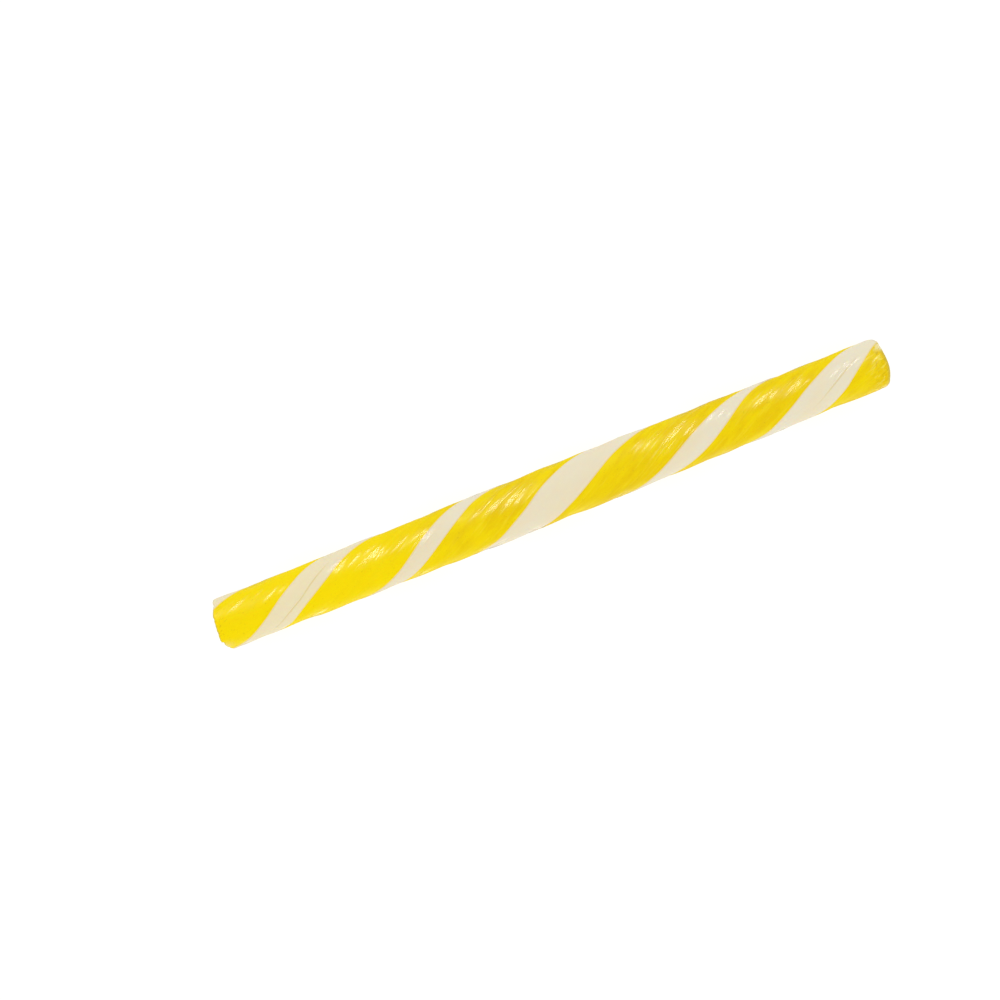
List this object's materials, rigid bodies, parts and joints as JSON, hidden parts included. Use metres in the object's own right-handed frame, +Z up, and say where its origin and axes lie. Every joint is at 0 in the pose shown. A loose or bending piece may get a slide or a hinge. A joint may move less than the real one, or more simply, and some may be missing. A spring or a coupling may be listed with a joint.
{
  "type": "hard candy stick",
  "caption": "Round straight stick of hard pulled sugar with a left-hand twist, glossy lemon yellow with wide and narrow white stripes winding along it, cut off bluntly at its ends.",
  "frame": {"origin": "under the middle of the stick's box, on the surface that the stick lies on", "axes": "+X along the stick towards its more rounded end, +Z up out of the side that the picture shows, +Y the picture's upward side"},
  "size_m": [0.132, 0.0104, 0.0101],
  "materials": {
    "pulled_sugar": "glossy boiled sugar, lemon yellow with ivory white stripes and fine pulled streaks along the twist"
  },
  "bodies": {
    "root": {"candy_stick": "pulled_sugar"}
  },
  "joints": []
}
